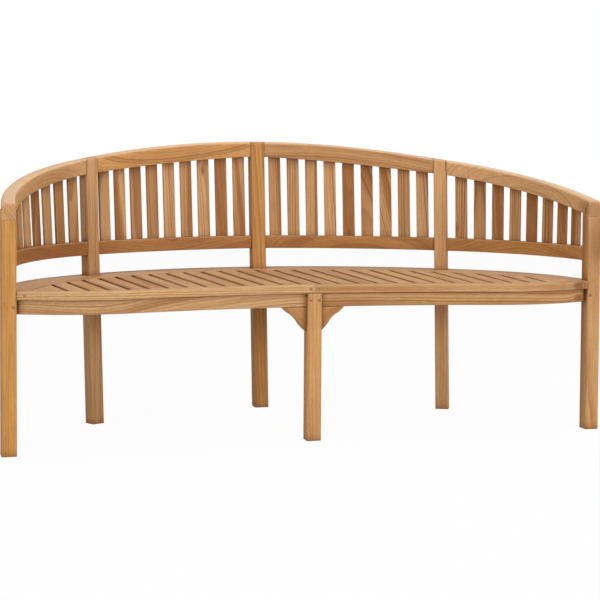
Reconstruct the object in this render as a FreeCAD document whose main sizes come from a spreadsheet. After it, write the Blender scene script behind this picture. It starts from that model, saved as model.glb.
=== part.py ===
"""Banana bench in solid wood: a curved back on three raked posts round a kidney-shaped slatted seat.

Frame: +X to the sitter's left (right in the front view), +Y to the back, +Z up, millimetres.
The origin is on the floor, in the middle of the bench's width and depth.
Right-hand pieces are built and the left-hand ones are their mirror images.
"""
import FreeCAD, Part
import math
import os
import Sketcher
from FreeCAD import Placement, Rotation, Vector

DIMENSIONS = [
    ("overall_width", 1800, "across the outer faces of the end legs"),
    ("leg_width", 42, "front legs, along X"),
    ("leg_depth", 45, "front legs, along Y"),
    ("end_leg_front", -350, "Y of the end legs' front faces"),
    ("centre_leg_front", -328, "Y of the centre leg's front face"),
    ("centre_post_size", 46, "square section of the centre back post"),
    ("side_post_size", 42.5, "square section of the side back posts"),
    ("side_post_x", 574, "side post at the floor, X"),
    ("side_post_y", 121, "side post at the floor, Y"),
    ("side_post_turn", 26, "side post turned to face the middle, degrees"),
    ("centre_post_y", 298, "centre post at the floor, Y"),
    ("rake_slope", 0.0875, "lean of the posts to the back, per unit of height"),
    ("splay_slope", 0.0138, "lean of the side posts away from the middle, per unit of height"),
    ("rail_top_centre", 873, "top of the back at the centre post"),
    ("rail_top_side", 819, "top of the back at the side posts"),
    ("arm_top_middle", 768, "top of the arm half way along"),
    ("arm_top_end", 704, "top of the arm over the end leg"),
    ("rail_height", 49, "top rail at the posts and arm, upright"),
    ("rail_belly", 7, "extra height of the top rail half way between two posts"),
    ("rail_thick", 40, "top rail and arm, across"),
    ("rail_round", 13, "rounded outer top edge of the back"),
    ("rail_soften", 8, "rounded inner top edge of the back"),
    ("arm_end_x", 878, "middle of the arm over the end leg, X"),
    ("low_top_centre", 563, "top of the lower back rail at the centre post"),
    ("low_top_side", 559.5, "top of the lower back rail at the side posts"),
    ("low_top_end", 556.5, "top of the lower back rail at the end legs"),
    ("low_rail_height", 41.5, "lower back rail, upright"),
    ("low_rail_thick", 32, "lower back rail, across"),
    ("slat_width", 40, "back slats"),
    ("slat_thick", 8, "back slats"),
    ("end_slat_lead", 0.09, "shift of the end bays' slats towards the legs, as a share of their pitch"),
    ("slat_housing", 10, "depth of a slat's end in its rail"),
    ("seat_top", 455, "height of the seat"),
    ("seat_board", 23.5, "thickness of the seat's border boards"),
    ("seat_slat_thick", 15, "seat slats, also the depth of the border's rebate"),
    ("seat_slat_width", 45, "seat slats"),
    ("seat_slat_pitch", 58, "seat slats at the front border, centre to centre"),
    ("seat_fan_reach", 7500, "from the seat's front to the point that the slats spread from"),
    ("lobe_x", 640, "middle of the front border's bulge, X"),
    ("lobe_y", -403, "most forward point of the seat, Y"),
    ("front_border", 40, "front border board, seen from above"),
    ("ledge", 15, "lower half of the rebate, under the slat ends"),
    ("seat_arc_y", -600, "centre of the seat's rear curve, Y"),
    ("seat_arc_radius", 1003, "rear edge of the seat"),
    ("seat_turn_x", 720, "where the rear edge turns in to the end leg, X"),
    ("seat_end_x", 882, "rear edge of the seat at the end leg, X"),
    ("rear_border", 138, "rear border boards, seen from above"),
    ("rear_gap", 3, "open joint between the slats and the rear border"),
    ("apron_height", 41, "aprons and bearers under the seat"),
    ("apron_setback", 16, "front apron behind the edge of the front border"),
    ("apron_thick", 22, "aprons"),
    ("apron_spare", 9, "end of the side apron that is sawn off at the leg"),
    ("bearer_thick", 30, "centre bearer"),
    ("corbel_reach", 73, "corbel along the apron"),
    ("corbel_drop", 72, "corbel down the centre leg"),
    ("corbel_thick", 20, "corbel"),
    ("corbel_wave", 1.9, "height of each of the corbel's three curves over its chord"),
    ("tenon_thick", 11, "tenons"),
    ("tenon_length", 13, "depth of a tenon in a post or leg"),
    ("tenon_share", 0.55, "height of a tenon in the height of its piece"),
    ("plug_diameter", 9, "wooden plugs over the joint pins"),
    ("plug_length", 13, "wooden plugs over the joint pins"),
    ("end_plug_inset", 33, "plug from the end leg's outer face"),
    ("plug_pair_half", 12.3, "paired plugs from the middle of the centre leg"),
    ("leg_plug_z", 411, "plugs on the legs"),
    ("border_plug_z", 444, "plugs on the front border"),
    ("border_plug_x", 838, "plug at the end of the front border, X"),
    ("arris", 3, "eased edges of the legs, posts, front border and aprons"),
    ("fit_gap", 0.2, "clearance in the housed joints"),
    ("board_gap", 0.4, "clearance between neighbouring seat boards"),
]

CENTRE_SLATS_PER_BAY = 9
END_SLATS_PER_BAY = 8
SEAT_SLATS_PER_SIDE = 12
RAIL_SECTIONS = 4
OUTER_FACETS = 3
INNER_FACETS = 2
POST_SIZES = ("centre_post_size", "side_post_size")
POST_NAMES = ("CentrePost", "SidePost")
MIDDLE_PIECES = ("CentreLeg", "CentrePost", "Bearer")
# Difference up to which two lengths count as the same
SAME_LENGTH = 0.01
# Where the corbel's curve turns over, in shares of its reach and drop
CORBEL_TURNS = ((0.68, 0.28), (0.37, 0.60))

doc = FreeCAD.newDocument("BananaBench")
sheet = doc.addObject("Spreadsheet::Sheet", "Dims")
for row, (alias, value, note) in enumerate(DIMENSIONS, start=1):
    sheet.set("A%d" % row, note)
    sheet.set("B%d" % row, str(value))
    sheet.setAlias("B%d" % row, alias)
doc.recompute()
dim = {alias: float(sheet.get(alias)) for alias, _, _ in DIMENSIONS}

UP = Vector(0, 0, 1)
BACKWARD = Vector(0, 1, 0)
half_width = dim["overall_width"] / 2
leg_inner = half_width - dim["leg_width"]
end_leg_x = half_width - dim["leg_width"] / 2
end_leg_y = dim["end_leg_front"] + dim["leg_depth"] / 2
end_leg_back = dim["end_leg_front"] + dim["leg_depth"]
centre_leg_y = dim["centre_leg_front"] + dim["leg_depth"] / 2
board_base = dim["seat_top"] - dim["seat_board"]
slat_base = dim["seat_top"] - dim["seat_slat_thick"]
apron_base = board_base - dim["apron_height"]
apron_line = dim["apron_setback"] + dim["apron_thick"] / 2

# Pieces before their joints are cut, and the finished sub-parts
pieces = {}
nodes = []


# Document helpers

def add(kind, name):
    return doc.addObject(kind, name)


def bind(obj, **expressions):
    """Bind properties to the sheet; an underscore pair stands for a dot in the property's path."""
    for path, text in expressions.items():
        obj.setExpression(path.replace("__", "."), text)


def origin_plane(body, role):
    return next(plane for plane in body.Origin.OriginFeatures if plane.Role == role)


def new_sketch(body, name, role="XY_Plane", height=None):
    """A sketch on one of the body's own origin planes, lifted to a height from the sheet."""
    sketch = body.newObject("Sketcher::SketchObject", name)
    sketch.AttachmentSupport = [(origin_plane(body, role), "")]
    sketch.MapMode = "FlatFace"
    if height:
        bind(sketch, AttachmentOffset__Base__z=height)
    return sketch


def pad(body, sketch, length, midplane=False):
    feature = body.newObject("PartDesign::Pad", sketch.Name + "Pad")
    feature.Profile = sketch
    if midplane:
        feature.SideType = "Symmetric"
    bind(feature, Length=length)
    body.Tip = feature
    return feature


def outline(sketch, edges):
    """Draw the edges and tie together the ends that meet."""
    touching = 1e-5
    ids = [sketch.addGeometry(edge, False) for edge in edges]
    ends = [(geo, pos, sketch.getPoint(geo, pos)) for geo in ids for pos in (1, 2)]
    for i, (geo, pos, point) in enumerate(ends):
        for other, other_pos, other_point in ends[i + 1:]:
            if other != geo and point.distanceToPoint(other_point) < touching:
                sketch.addConstraint(Sketcher.Constraint("Coincident", geo, pos, other, other_pos))
    return ids


def fix_size(sketch, constraint, name, expression):
    index = sketch.addConstraint(constraint)
    sketch.renameConstraint(index, name)
    sketch.setExpression("Constraints." + name, expression)


def fix_radius(sketch, geo, radius, name, expression):
    fix_size(sketch, Sketcher.Constraint("Radius", geo, radius), name, expression)


def total(text):
    """Value of a sum of sheet names, such as Dims.ledge + Dims.board_gap."""
    return sum(dim[word.strip().replace("Dims.", "")] for word in text.split("+"))


def line(start, end):
    return Part.LineSegment(Vector(start[0], start[1], 0), Vector(end[0], end[1], 0))


def arc(centre, radius, start, end):
    """An arc between two angles in radians, anticlockwise from the sketch's X axis."""
    return Part.ArcOfCircle(Part.Circle(Vector(centre[0], centre[1], 0), UP, radius), start, end)


def bulged_arc(start, end, bulge):
    """An arc between two points that stands out by a bulge to the right of the way from start to end."""
    chord = Vector(end[0] - start[0], end[1] - start[1], 0)
    crown = Vector(start[0], start[1], 0) + chord * 0.5 + Vector(chord.y, -chord.x, 0).normalize() * bulge
    circle = Part.Circle(Vector(start[0], start[1], 0), crown, Vector(end[0], end[1], 0))
    centre = circle.Center
    angles = [math.atan2(y - centre.y, x - centre.x) for x, y in (start, end)]
    if bulge < 0:
        angles.reverse()
    sweep = (angles[1] - angles[0]) % (2 * math.pi)
    return arc((centre.x, centre.y), circle.Radius, angles[0], angles[0] + sweep)


def rectangle(sketch, width, depth):
    """A rectangle centred on the sketch's origin, its sides bound to two expressions."""
    half = 20.0
    corners = [(-half, -half), (half, -half), (half, half), (-half, half)]
    ids = outline(sketch, [line(corners[i], corners[(i + 1) % 4]) for i in range(4)])
    for geo, kind in zip(ids, ("Horizontal", "Vertical", "Horizontal", "Vertical")):
        sketch.addConstraint(Sketcher.Constraint(kind, geo))
    sketch.addConstraint(Sketcher.Constraint("Symmetric", ids[0], 1, ids[1], 2, -1, 1))
    fix_size(sketch, Sketcher.Constraint("DistanceX", ids[0], 1, ids[0], 2, 2 * half), "across", width)
    fix_size(sketch, Sketcher.Constraint("DistanceY", ids[1], 1, ids[1], 2, 2 * half), "deep", depth)


def box(name, length, width, height, place):
    """A box whose own origin is the middle of its base; the three sizes are expressions."""
    solid = add("Part::Box", name)
    bind(solid, Length=length, Width=width, Height=height)
    doc.recompute()
    solid.Placement = place.multiply(Placement(Vector(-solid.Length / 2, -solid.Width / 2, 0), Rotation()))
    return solid


def compound(name, parts):
    group = add("Part::Compound", name)
    group.Links = parts
    return group


def cut(name, base, tools):
    result = add("Part::Cut", name)
    result.Base = base
    result.Tool = tools[0] if len(tools) == 1 else compound(name + "Tools", tools)
    return result


def fuse(name, parts):
    result = add("Part::MultiFuse", name)
    result.Shapes = parts
    return result


def mirror(source, name):
    copy = add("Part::Mirroring", name)
    copy.Source = source
    copy.Base = Vector(0, 0, 0)
    copy.Normal = Vector(1, 0, 0)
    return copy


def about_z(x, y, z, degrees=0.0):
    return Placement(Vector(x, y, z), Rotation(UP, degrees))


def keep(obj, label):
    """Give a finished sub-part its name."""
    obj.Label = label
    nodes.append(obj)


def keep_pair(right, name):
    """Keep a right-hand sub-part and its mirror image on the left."""
    keep(right, "right_" + name)
    keep(mirror(right, "Left" + right.Name), "left_" + name)


# The lines of the back

def post_place(side, height):
    """Middle of the centre (0) or side (1) post at a height."""
    lean = Vector(side * dim["splay_slope"], dim["rake_slope"], 1) * height
    foot = Vector(dim["side_post_x"], dim["side_post_y"], 0) if side else Vector(0, dim["centre_post_y"], 0)
    return foot + lean


def through(points):
    """The line or parabola through two or three points, as a function of the first coordinate."""
    def value(along):
        result = 0.0
        for x, z in points:
            weight = z
            for other, _ in points:
                if other != x:
                    weight *= (along - other) / (x - other)
            result += weight
        return result
    return value


class RailLine:
    """A back rail: an arc over the posts in plan and a tighter one to each leg; arched or straight on top."""

    def __init__(self, height, centre_top, side_top, end_top, middle_top=None):
        self.height = height
        centre = post_place(0, centre_top - height / 2)
        side = post_place(1, side_top - height / 2)
        rise = centre.y - side.y
        radius = (side.x ** 2 + rise ** 2) / (2 * rise)
        side_angle = math.asin(side.x / radius)
        chord = Vector(dim["arm_end_x"] - side.x, end_leg_y - side.y, 0)
        half_turn = math.atan2(-chord.y, chord.x) - side_angle
        end_radius = chord.Length / (2 * math.sin(half_turn))
        end_centre = side - Vector(math.sin(side_angle), math.cos(side_angle), 0) * end_radius
        # Centre, radius, first and last heading of the arc in the centre bay and in the end bay
        self.arcs = ((Vector(0, centre.y - radius, 0), radius, 0.0, side_angle),
                     (end_centre, end_radius, side_angle, side_angle + 2 * half_turn))
        bay_tops = [(0.0, centre_top), (side.x, side_top)]
        arm_tops = [(end_leg_y, end_top), (side.y, side_top)]
        if middle_top:
            bay_tops.append((-side.x, side_top))
            arm_tops.append((self.plan(1, 0.5)[0][1], middle_top))
        self.bay_top = through(bay_tops)
        self.arm_top = through(arm_tops)

    def plan(self, bay, share):
        """Point and heading at a share of the centre bay (0) or the end bay (1)."""
        centre, radius, first, last = self.arcs[bay]
        angle = first + share * (last - first)
        return (centre.x + radius * math.sin(angle), centre.y + radius * math.cos(angle)), angle

    def top(self, bay, x, y):
        """Top of the rail at a plan point."""
        return self.arm_top(y) if bay else self.bay_top(x)

    def share_at_y(self, y):
        """Share of the end bay where it crosses a given Y."""
        centre, radius, first, last = self.arcs[1]
        return (math.acos((y - centre.y) / radius) - first) / (last - first)


top_line = RailLine(dim["rail_height"], dim["rail_top_centre"], dim["rail_top_side"], dim["arm_top_end"],
                    dim["arm_top_middle"])
low_line = RailLine(dim["low_rail_height"], dim["low_top_centre"], dim["low_top_side"], dim["low_top_end"])


# Top rail and arms: one upright section carried along a line that bends in plan and falls in side view

def top_depth(bay, share):
    """Upright height of the top rail, which swells downwards between two posts."""
    return dim["rail_height"] + (0 if bay else dim["rail_belly"] * 4 * share * (1 - share))


def top_section(height):
    """Section hung from the middle of its top: rounded outside (+X) and softer inside, in planed facets."""
    half = dim["rail_thick"] / 2
    points = []
    corners = (("rail_round", 1, OUTER_FACETS), ("rail_soften", -1, INNER_FACETS))
    for quarter, (alias, side, facets) in enumerate(corners):
        radius = dim[alias]
        for k in range(facets + 1):
            angle = (quarter + k / facets) * math.pi / 2
            points.append((side * (half - radius) + radius * math.cos(angle), radius * (math.sin(angle) - 1)))
    return points + [(-half, -height), (half, -height)]


def top_rail(name, bay, last):
    """The section set upright at equal steps along a bay, up to its last share, and lofted through."""
    body = add("PartDesign::Body", name)
    sections = []
    for i in range(RAIL_SECTIONS):
        share = last * i / (RAIL_SECTIONS - 1)
        (x, y), heading = top_line.plan(bay, share)
        outward = Vector(math.sin(heading), math.cos(heading), 0)
        sketch = new_sketch(body, "%sSection%d" % (name, i))
        sketch.AttachmentOffset = Placement(Vector(x, y, top_line.top(bay, x, y)),
                                            Rotation(outward, UP, outward.cross(UP), "XYZ"))
        points = top_section(top_depth(bay, share))
        base = outline(sketch, [line(points[k - 1], points[k]) for k in range(len(points))])[-1]
        width = Sketcher.Constraint("DistanceX", base, 1, base, 2, dim["rail_thick"])
        fix_size(sketch, width, "across", "Dims.rail_thick")
        sections.append(sketch)
    loft = body.newObject("PartDesign::AdditiveLoft", name + "Loft")
    loft.Profile = sections[0]
    loft.Sections = sections[1:]
    body.Tip = loft
    return body


# Lower rails: boards sawn to an arc in plan

def low_rail(name, bay):
    """A lower rail, set with a slight fall from the centre post to the leg."""
    centre, radius, first, last = low_line.arcs[bay]
    body = add("PartDesign::Body", name)
    sketch = new_sketch(body, name + "Plan")
    half = dim["low_rail_thick"] / 2
    rims = [arc(centre, radius + side * half, math.pi / 2 - last, math.pi / 2 - first) for side in (1, -1)]
    ends = [line(rims[0].StartPoint, rims[1].StartPoint), line(rims[0].EndPoint, rims[1].EndPoint)]
    ids = outline(sketch, rims + ends)
    for geo, sign, rim in zip(ids, (1, -1), ("outer", "inner")):
        fix_radius(sketch, geo, radius + sign * half, rim,
                   "%.9f + %d * Dims.low_rail_thick / 2" % (radius, sign))
    pad(body, sketch, "Dims.low_rail_height")
    (x0, y0), _ = low_line.plan(bay, 0.0)
    (x1, y1), _ = low_line.plan(bay, 1.0)
    top = low_line.top(bay, x0, y0)
    run = Vector(0, y1 - y0, 0) if bay else Vector(x1 - x0, 0, 0)
    slope = Rotation(run, run - UP * (top - low_line.top(bay, x1, y1)))
    body.Placement = Placement(Vector(0, 0, top - dim["low_rail_height"]), slope, Vector(x0, y0, 0))
    return body


# Legs and posts

def ease(body, chosen):
    """Plane off the chosen edges of a body's last feature."""
    doc.recompute()
    last = body.Tip
    feature = body.newObject("PartDesign::Chamfer", body.Name + "Arrises")
    feature.Base = (last, ["Edge%d" % i for i, edge in enumerate(last.Shape.Edges, start=1) if chosen(edge)])
    bind(feature, Size="Dims.arris")
    body.Tip = feature


def rises(edge):
    """True of an edge that isn't level."""
    return edge.BoundBox.ZLength > dim["arris"]


def straight_leg(name, x, y, height):
    body = add("PartDesign::Body", name)
    sketch = new_sketch(body, name + "Section")
    rectangle(sketch, "Dims.leg_width", "Dims.leg_depth")
    pad(body, sketch, height)
    ease(body, rises)
    body.Placement = about_z(x, y, 0)
    return body


def raked_post(name, side, across="", deep=""):
    """A square post with a level foot that leans to the back; the last two add to its section."""
    body = add("PartDesign::Body", name)
    sketch = new_sketch(body, name + "Section")
    size = "Dims." + POST_SIZES[side]
    rectangle(sketch, size + across, size + deep)
    feature = pad(body, sketch, "Dims.rail_top_centre + Dims.rail_height")
    turn = side * dim["side_post_turn"]
    foot = post_place(side, 0)
    feature.UseCustomVector = True
    feature.Direction = Rotation(UP, turn).multVec(post_place(side, 1) - foot)
    feature.AlongSketchNormal = True
    body.Placement = about_z(foot.x, foot.y, 0, -turn)
    return body


def top_waste(name, side):
    """What is sawn off a post's top, to the slope of the rails that meet there."""
    (x, y), heading = top_line.plan(0, side)
    top = top_line.top(0, x, y)
    fall = top - top_line.top(0, x + math.cos(heading), y - math.sin(heading))
    slope = Rotation(BACKWARD, math.degrees(math.atan(fall)))
    turn = Rotation(UP, -math.degrees(heading)).multiply(slope)
    size = "4 * Dims." + POST_SIZES[side]
    return box(name + "Waste", size, size, size, Placement(Vector(x, y, top), turn))


def rounded_top(name, side):
    """A post sawn off at its top, with the front and back edges there rounded like the rails."""
    topped = cut(name + "Topped", pieces[name], [top_waste(name, side)])
    doc.recompute()
    shape = topped.Shape
    face = max(shape.Faces, key=lambda part: part.CenterOfMass.z)
    facing = Rotation(UP, -side * dim["side_post_turn"]).multVec(BACKWARD)
    rims = sorted(face.Edges, key=lambda edge: facing.dot(edge.CenterOfMass))
    result = add("Part::Fillet", name + "Rounded")
    result.Base = topped
    edges = []
    for rim, radius in ((rims[0], dim["rail_soften"]), (rims[-1], dim["rail_round"])):
        number = next(i for i, edge in enumerate(shape.Edges, start=1) if edge.isSame(rim))
        edges.append((number, radius, radius))
    result.Edges = edges
    return result


# Tenons: each is one box for the piece that carries it and a larger one for the mortise

tenons = {}
mortises = {}


def cut_into(support, piece, room):
    """Take a room out of a support, on both sides where a pair meets a middle piece."""
    rooms = mortises.setdefault(support, [])
    rooms.append(room)
    if support in MIDDLE_PIECES and piece not in MIDDLE_PIECES:
        rooms.append(mirror(room, room.Name + "Left"))


def tenon(piece, support, middle, heading, alias):
    """A tenon round a point of the shoulder line, along a heading from +X, half in each of the two pieces."""
    tag = "%s_%s" % (piece, support)
    height = "Dims.tenon_share * Dims." + alias
    base = middle.z - dim["tenon_share"] * dim[alias] / 2
    length = "2 * Dims.tenon_length"
    turn = math.degrees(heading)
    tenons.setdefault(piece, []).append(
        box("Tenon_" + tag, length, "Dims.tenon_thick", height, about_z(middle.x, middle.y, base, turn)))
    room = box("Mortise_" + tag, length + " + 2 * Dims.fit_gap", "Dims.tenon_thick + 2 * Dims.fit_gap",
               height + " + 2 * Dims.fit_gap", about_z(middle.x, middle.y, base - dim["fit_gap"], turn))
    cut_into(support, piece, room)


def post_shoulder(side, height, heading):
    """Point on a post's face at a height, from its middle along a heading."""
    reach = Vector(math.cos(heading), math.sin(heading), 0) * (dim[POST_SIZES[side]] / 2)
    return post_place(side, height) + reach


def joined(name, base=None, stops=(), rooms=()):
    """A piece cut back to its neighbours, given its tenons and cut for those of others."""
    result = base or pieces[name]
    neighbours = [pieces[stop] for stop in stops]
    for stage, tools in (("Shouldered", neighbours), ("Housed", list(rooms))):
        if tools:
            result = cut(name + stage, result, tools)
    if name in tenons:
        result = fuse(name + "Tenoned", [result] + tenons[name])
    if name in mortises:
        result = cut(name + "Mortised", result, mortises[name])
    return result


# Back slats, housed at both ends in the rails

def slat_places():
    """Lower and upper end and heading of each slat on the right-hand side."""
    end_reach = low_line.share_at_y(end_leg_back)
    bays = ((0, CENTRE_SLATS_PER_BAY, 1.0, 0.0), (1, END_SLATS_PER_BAY, end_reach, dim["end_slat_lead"]))
    for bay, count, reach, lead in bays:
        for i in range(1, count + 1):
            share = reach * (i + lead) / (count + 1)
            (x0, y0), angle = low_line.plan(bay, share)
            (x1, y1), _ = top_line.plan(bay, share)
            under = top_line.top(bay, x1, y1) - top_depth(bay, share)
            yield Vector(x0, y0, low_line.top(bay, x0, y0)), Vector(x1, y1, under), angle


def slat_box(name, low, high, angle, spare):
    """A slat along the line between two points, longer by the housing at both ends."""
    rise = (high - low).normalize()
    run = Vector(math.cos(angle), -math.sin(angle), 0)
    across = rise.cross(run).normalize()
    turn = Rotation(across.cross(rise), across, rise, "ZYX")
    extra = " + 2 * %g" % spare
    return box(name, "Dims.slat_width" + extra, "Dims.slat_thick" + extra,
               "%.9f + 2 * Dims.slat_housing%s" % (high.distanceToPoint(low), extra),
               Placement(low - rise * (dim["slat_housing"] + spare), turn))


# The seat's front: a hollow arc across the middle, tangent to a bulge on each side

front_drop = dim["centre_leg_front"] - dim["lobe_y"]
end_drop = dim["end_leg_front"] - dim["lobe_y"]
end_run = leg_inner - dim["lobe_x"]
lobe_radius = (end_run ** 2 + end_drop ** 2) / (2 * end_drop)
lobe_centre = (dim["lobe_x"], dim["lobe_y"] + lobe_radius)
hollow_radius = (dim["lobe_x"] ** 2 + front_drop ** 2) / (2 * front_drop) - lobe_radius
hollow_centre = (0.0, dim["centre_leg_front"] - hollow_radius)
tangent_angle = math.atan2(lobe_centre[1] - hollow_centre[1], lobe_centre[0] - hollow_centre[0])


def front_edge(offset, first_x, last_x):
    """Right half of the front edge, moved back by an offset, between two X values."""
    hollow = hollow_radius + offset
    lobe = lobe_radius - offset
    start = math.acos(first_x / hollow)
    stop = -math.acos((last_x - lobe_centre[0]) / lobe)
    return [arc(hollow_centre, hollow, tangent_angle, start),
            arc(lobe_centre, lobe, tangent_angle - math.pi, stop)]


def front_band(body, name, near, far, first_x, base, height):
    """Pad a band that follows the front edge to the end leg, between two offsets given as expressions."""
    sketch = new_sketch(body, name, height=base)
    offsets = [(side, text, total(text) if text else 0.0) for side, text in (("front", near), ("back", far))]
    edges = [front_edge(value, first_x, leg_inner) for _, _, value in offsets]
    ends = [line(edges[0][k].EndPoint, edges[1][k].EndPoint) for k in (0, 1)]
    ids = outline(sketch, edges[0] + edges[1] + ends)
    for k, (side, text, value) in enumerate(offsets):
        hollow, lobe = ids[2 * k], ids[2 * k + 1]
        shift = text or "0"
        fix_radius(sketch, hollow, hollow_radius + value, side + "_hollow",
                   "%.9f + %s" % (hollow_radius, shift))
        fix_radius(sketch, lobe, lobe_radius - value, side + "_lobe",
                   "%.9f - (%s)" % (lobe_radius, shift))
    return pad(body, sketch, height)


# Lower and upper half of a rebated border board: name, base, height and extra width
REBATE = (
    ("Ledge", "Dims.seat_top - Dims.seat_board", "Dims.seat_board - Dims.seat_slat_thick", " + Dims.ledge"),
    ("Rim", "Dims.seat_top - Dims.seat_slat_thick", "Dims.seat_slat_thick", ""),
)


def in_front(offset, heights):
    """A test for the edges that follow the front edge at an offset and lie at one of the heights."""
    radii = (hollow_radius + offset, lobe_radius - offset)

    def among(value, wanted):
        return any(math.isclose(value, other, abs_tol=SAME_LENGTH) for other in wanted)

    def chosen(edge):
        return (isinstance(edge.Curve, Part.Circle) and among(edge.Curve.Radius, radii)
                and among(edge.CenterOfMass.z, heights))
    return chosen


def front_border(name, first_x, spare=""):
    """The right half of the front border: a rebated board that follows the front edge."""
    body = add("PartDesign::Body", name)
    for layer, base, height, extra in REBATE:
        front_band(body, name + layer, None, "Dims.front_border" + extra + spare, first_x, base, height)
    return body


# The seat's rear: one arc behind the posts that turns in to the end legs with a smaller one

seat_centre = Vector(0, dim["seat_arc_y"], 0)
seat_turn = math.asin(dim["seat_turn_x"] / dim["seat_arc_radius"])
seat_end = Vector(dim["seat_end_x"], end_leg_back + dim["board_gap"], 0) - seat_centre
turn_way = Vector(math.sin(seat_turn), math.cos(seat_turn), 0)
end_shift = ((dim["seat_arc_radius"] ** 2 - seat_end.dot(seat_end))
             / (2 * (dim["seat_arc_radius"] - seat_end.dot(turn_way))))
seat_end_centre = seat_centre + turn_way * end_shift
seat_end_radius = dim["seat_arc_radius"] - end_shift
seat_post = post_place(1, slat_base)
seat_split = math.atan2(seat_post.x, seat_post.y - dim["seat_arc_y"])
seat_slit = dim["board_gap"] / 2 / dim["seat_arc_radius"]


def seat_arc(radius, start, stop):
    """An arc about the seat's rear centre between two headings from +Y towards +X."""
    return arc(seat_centre, radius, math.pi / 2 - stop, math.pi / 2 - start)


def middle_board(inner):
    """Outline of the rear board between the centre and the side post, for the radius of its inner edge."""
    rims = [seat_arc(radius, seat_slit, seat_split - seat_slit) for radius in (dim["seat_arc_radius"], inner)]
    return rims + [line(rims[0].StartPoint, rims[1].StartPoint), line(rims[0].EndPoint, rims[1].EndPoint)]


def corner_board(inner):
    """Outline of the rear board between the side post and the end leg, run on under the front border."""
    start = seat_split + seat_slit
    stop = math.acos((dim["end_leg_front"] - dim["seat_arc_y"]) / inner)
    rims = [seat_arc(dim["seat_arc_radius"], start, seat_turn), seat_arc(inner, start, stop)]
    end = seat_centre + seat_end - seat_end_centre
    bend = arc(seat_end_centre, seat_end_radius, math.atan2(end.y, end.x), math.pi / 2 - seat_turn)
    corner = (dim["seat_end_x"], dim["end_leg_front"])
    return rims + [bend, line(bend.StartPoint, corner), line(corner, rims[1].StartPoint),
                   line(rims[0].EndPoint, rims[1].EndPoint)]


def rear_border(name, edges):
    """A rebated board of the rear border, from the function that gives its outline."""
    body = add("PartDesign::Body", name)
    for layer, base, height, extra in REBATE:
        sketch = new_sketch(body, name + layer, height=base)
        width = "Dims.rear_border" + extra
        inner = dim["seat_arc_radius"] - total(width)
        ids = outline(sketch, edges(inner))
        fix_radius(sketch, ids[0], dim["seat_arc_radius"], "outer", "Dims.seat_arc_radius")
        fix_radius(sketch, ids[1], inner, "inner", "Dims.seat_arc_radius - (%s)" % width)
        pad(body, sketch, height)
    return body


def slat_field():
    """The space inside the borders' rims that the seat slats fill."""
    body = add("PartDesign::Body", "SlatField")
    sketch = new_sketch(body, "SlatFieldPlan", height="Dims.seat_top - Dims.seat_slat_thick")
    front_offset = dim["front_border"] + dim["board_gap"]
    lobe = lobe_radius - front_offset
    hollow = hollow_radius + front_offset
    rear = dim["seat_arc_radius"] - dim["rear_border"] - dim["rear_gap"]
    # The tip is where the lobe's circle crosses the rear border's inner circle
    gap = Vector(lobe_centre[0], lobe_centre[1], 0) - seat_centre
    along = (rear ** 2 - lobe ** 2 + gap.Length ** 2) / (2 * gap.Length)
    aside = math.sqrt(rear ** 2 - along ** 2)
    unit = Vector(gap).normalize()
    tip = seat_centre + unit * along + Vector(unit.y, -unit.x, 0) * aside
    tip_rear = math.atan2(tip.y - seat_centre.y, tip.x)
    tip_lobe = math.atan2(tip.y - lobe_centre[1], tip.x - lobe_centre[0])
    left_lobe_centre = (-lobe_centre[0], lobe_centre[1])
    edges = [arc(seat_centre, rear, tip_rear, math.pi - tip_rear),
             arc(lobe_centre, lobe, tangent_angle - math.pi, tip_lobe),
             arc(hollow_centre, hollow, tangent_angle, math.pi - tangent_angle),
             arc(left_lobe_centre, lobe, -math.pi - tip_lobe, -tangent_angle)]
    ids = outline(sketch, edges)
    fix_radius(sketch, ids[0], rear, "rear", "Dims.seat_arc_radius - Dims.rear_border - Dims.rear_gap")
    sketch.addConstraint(Sketcher.Constraint("Equal", ids[1], ids[3]))
    pad(body, sketch, "Dims.seat_slat_thick")
    return body


def seat_slat(number, field):
    """A slat of the fan, counted from the middle; the last one fills the corner of the seat."""
    name = "SeatSlat%02d" % number
    focus = Vector(0, dim["centre_leg_front"] + dim["front_border"] - dim["seat_fan_reach"], 0)
    x = number * dim["seat_slat_pitch"]
    turned = Rotation(UP, -math.degrees(math.atan2(x, dim["seat_fan_reach"])))
    last = number > SEAT_SLATS_PER_SIDE
    # A strip that starts in front of the seat and ends behind it, cut to the field
    strip = add("Part::Box", name + "Strip")
    bind(strip, Length="3 * Dims.seat_slat_pitch" if last else "Dims.seat_slat_width",
         Width="Dims.overall_width / 2", Height="Dims.seat_slat_thick")
    reach = math.hypot(x, dim["seat_fan_reach"]) - dim["seat_arc_radius"] / 4
    corner = turned.multVec(Vector(-dim["seat_slat_width"] / 2, reach, slat_base))
    strip.Placement = Placement(focus + corner, turned)
    slat = add("Part::Common", name)
    slat.Base = strip
    slat.Tool = field
    return slat


# Straight members under the seat

def straight_member(name, start, end, thick):
    """A board on edge under the seat, between two plan points; returns its heading."""
    run = end - start
    heading = math.atan2(run.y, run.x)
    middle = (start + end) * 0.5
    pieces[name] = box(name, "%.9f" % run.Length, thick, "Dims.apron_height",
                       about_z(middle.x, middle.y, apron_base, math.degrees(heading)))
    return heading


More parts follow.
